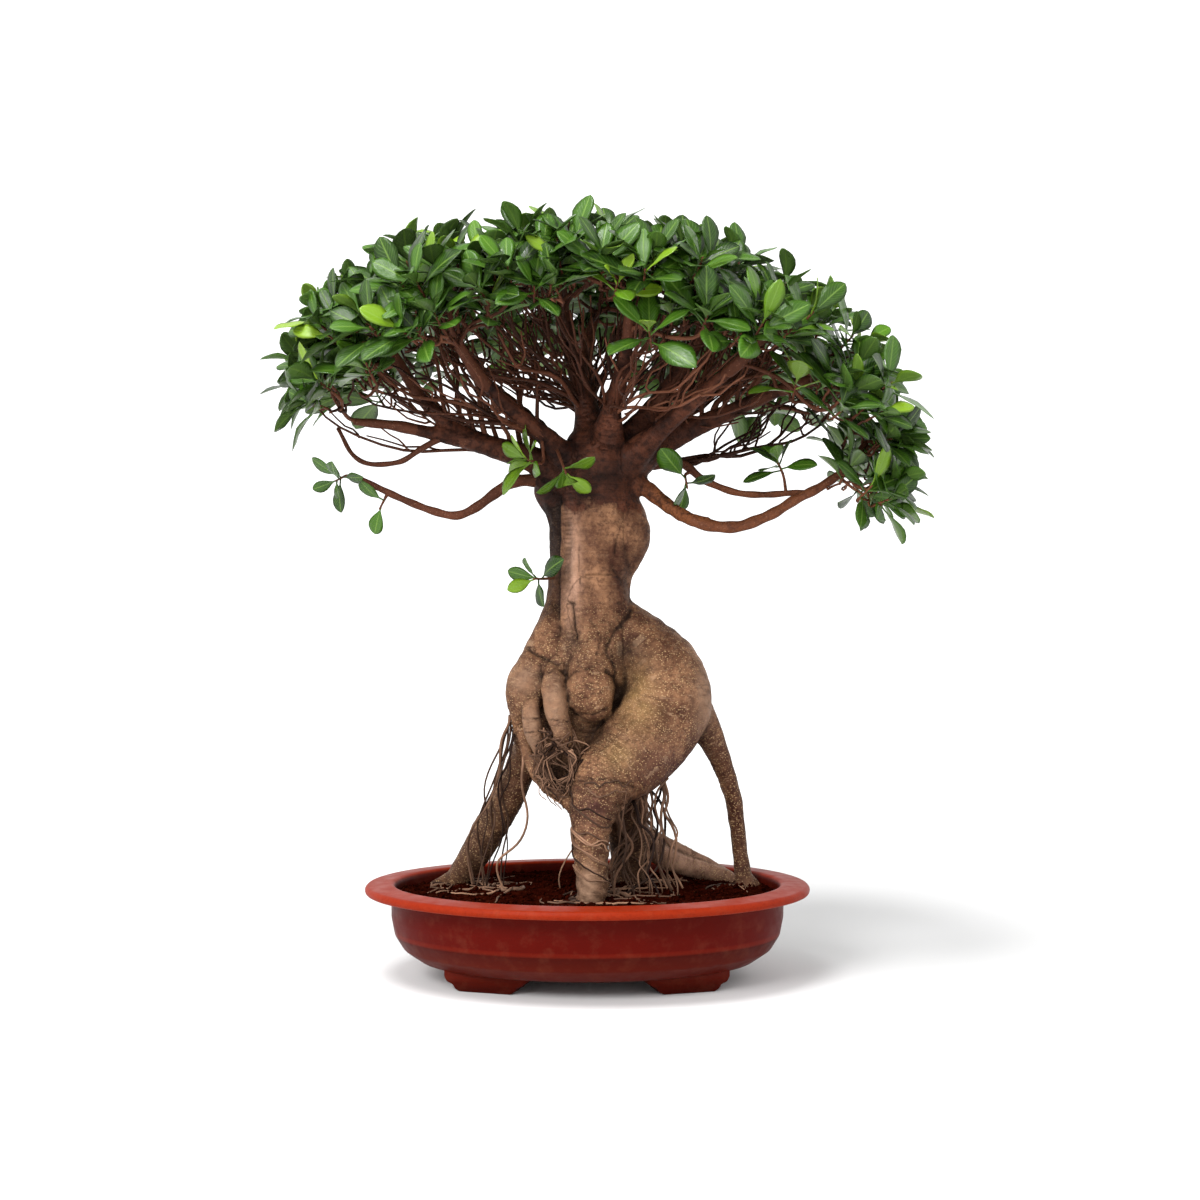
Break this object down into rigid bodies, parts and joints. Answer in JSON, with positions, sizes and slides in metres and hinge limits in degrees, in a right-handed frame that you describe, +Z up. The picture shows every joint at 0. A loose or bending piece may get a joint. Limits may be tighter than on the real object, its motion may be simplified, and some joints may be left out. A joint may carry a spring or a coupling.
{
  "type": "ginseng ficus in a bonsai pot",
  "caption": "Grafted fig tree with swollen root legs, a fan of boughs and a domed leafy crown, in a shallow oval footed pot.",
  "frame": {"origin": "on the ground, below the middle of the plant's bounding box", "axes": "+Z up, -Y towards the viewer who sees the plant's front, +X to that viewer's right"},
  "size_m": [0.6839, 0.4864, 0.7957],
  "materials": {
    "terracotta": "satin",
    "soil": "matte",
    "bark": "matte",
    "leaf": "satin",
    "young_leaf": "satin"
  },
  "bodies": {
    "root": {"leaves_crown_01": "leaf", "leaves_crown_02": "leaf", "leaves_crown_03": "leaf", "leaves_crown_04": "leaf", "leaves_crown_05": "leaf", "leaves_crown_06": "leaf", "leaves_crown_07": "leaf", "leaves_crown_08": "leaf", "leaves_crown_09": "leaf", "leaves_crown_10": "leaf", "leaves_crown_11": "leaf", "leaves_crown_12": "leaf", "leaves_crown_13": "leaf", "leaves_crown_14": "leaf", "leaves_crown_15": "leaf", "leaves_crown_16": "leaf", "leaves_crown_17": "leaf", "leaves_crown_18": "leaf", "leaves_crown_19": "leaf", "leaves_crown_20": "leaf", "leaves_crown_21": "leaf", "leaves_crown_22": "leaf", "leaves_crown_23": "leaf", "leaves_crown_24": "leaf", "leaves_crown_25": "leaf", "leaves_crown_26": "leaf", "leaves_crown_27": "leaf", "leaves_crown_28": "leaf", "leaves_crown_29": "leaf", "leaves_crown_30": "leaf", "leaves_crown_31": "leaf", "leaves_crown_32": "leaf", "leaves_crown_33": "leaf", "leaves_crown_34": "leaf", "leaves_crown_35": "leaf", "leaves_crown_36": "leaf", "leaves_crown_37": "leaf", "leaves_crown_38": "leaf", "leaves_crown_39": "leaf", "leaves_crown_40": "leaf", "leaves_crown_41": "leaf", "leaves_crown_42": "leaf", "leaves_crown_43": "leaf", "leaves_crown_44": "leaf", "leaves_crown_45": "leaf", "leaves_crown_46": "leaf", "leaves_crown_47": "leaf", "leaves_crown_48": "leaf", "leaves_hanging_right": "leaf", "leaves_low_left_end": "leaf", "leaves_low_left_leaf": "leaf", "leaves_low_right_end": "leaf", "leaves_low_right_inner": "leaf", "leaves_low_right_tip": "leaf", "leaves_trunk_front": "young_leaf", "leaves_trunk_front_low": "young_leaf", "leaves_trunk_left": "leaf", "pot": "terracotta", "soil": "soil", "tree": "bark"}
  },
  "joints": []
}
